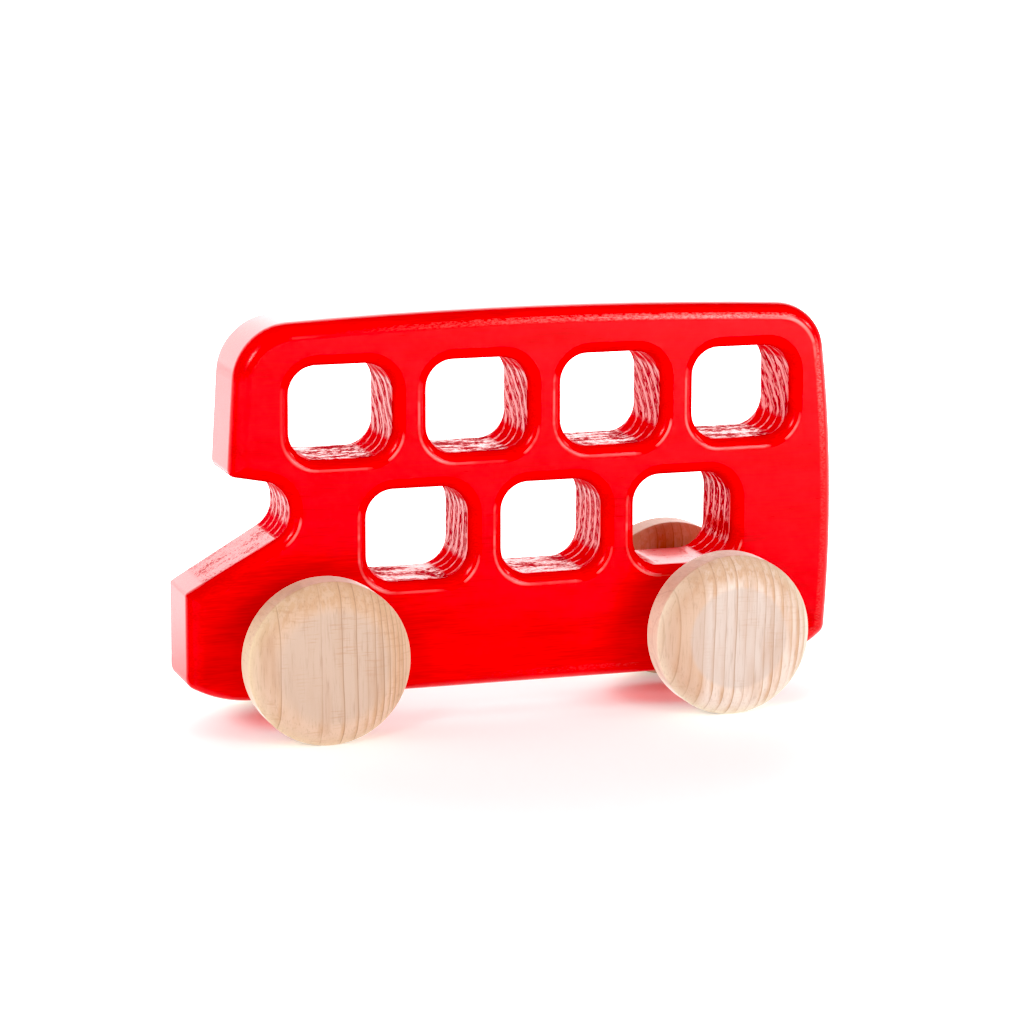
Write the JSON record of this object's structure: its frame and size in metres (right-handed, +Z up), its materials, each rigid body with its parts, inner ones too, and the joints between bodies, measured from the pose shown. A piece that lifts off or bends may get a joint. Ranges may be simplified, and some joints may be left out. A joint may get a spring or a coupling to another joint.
{
  "type": "toy bus",
  "caption": "Wooden half-cab double-decker toy bus: one thick rounded plank with through windows, rolling on dowel axles with turned wheels.",
  "frame": {"origin": "on the floor plane, under the middle of the length and of the thickness", "axes": "+X from the nose to the rear, +Y from the bus's left side to its right side as it drives (the picture shows the -Y side), +Z up"},
  "size_m": [0.1662, 0.0594, 0.1014],
  "materials": {
    "red_stained_beech": "red stain under satin varnish, grain just showing",
    "natural_beech": "sanded and oiled, growth lines showing",
    "dowel_beech": "plain sanded dowel"
  },
  "bodies": {
    "bus_body": {"body": "red_stained_beech"},
    "front_wheelset": {"front_axle": "dowel_beech", "front_left_wheel": "natural_beech", "front_right_wheel": "natural_beech"},
    "rear_wheelset": {"rear_axle": "dowel_beech", "rear_left_wheel": "natural_beech", "rear_right_wheel": "natural_beech"}
  },
  "joints": [
    {"name": "front_wheels_roll", "type": "hinge", "parent": "bus_body", "child": "front_wheelset", "pos_m": [-0.0521, 0, 0.02], "axis": [0, 1, 0], "continuous": true},
    {"name": "rear_wheels_roll", "type": "hinge", "parent": "bus_body", "child": "rear_wheelset", "pos_m": [0.0507, 0, 0.02], "axis": [0, 1, 0], "continuous": true}
  ]
}
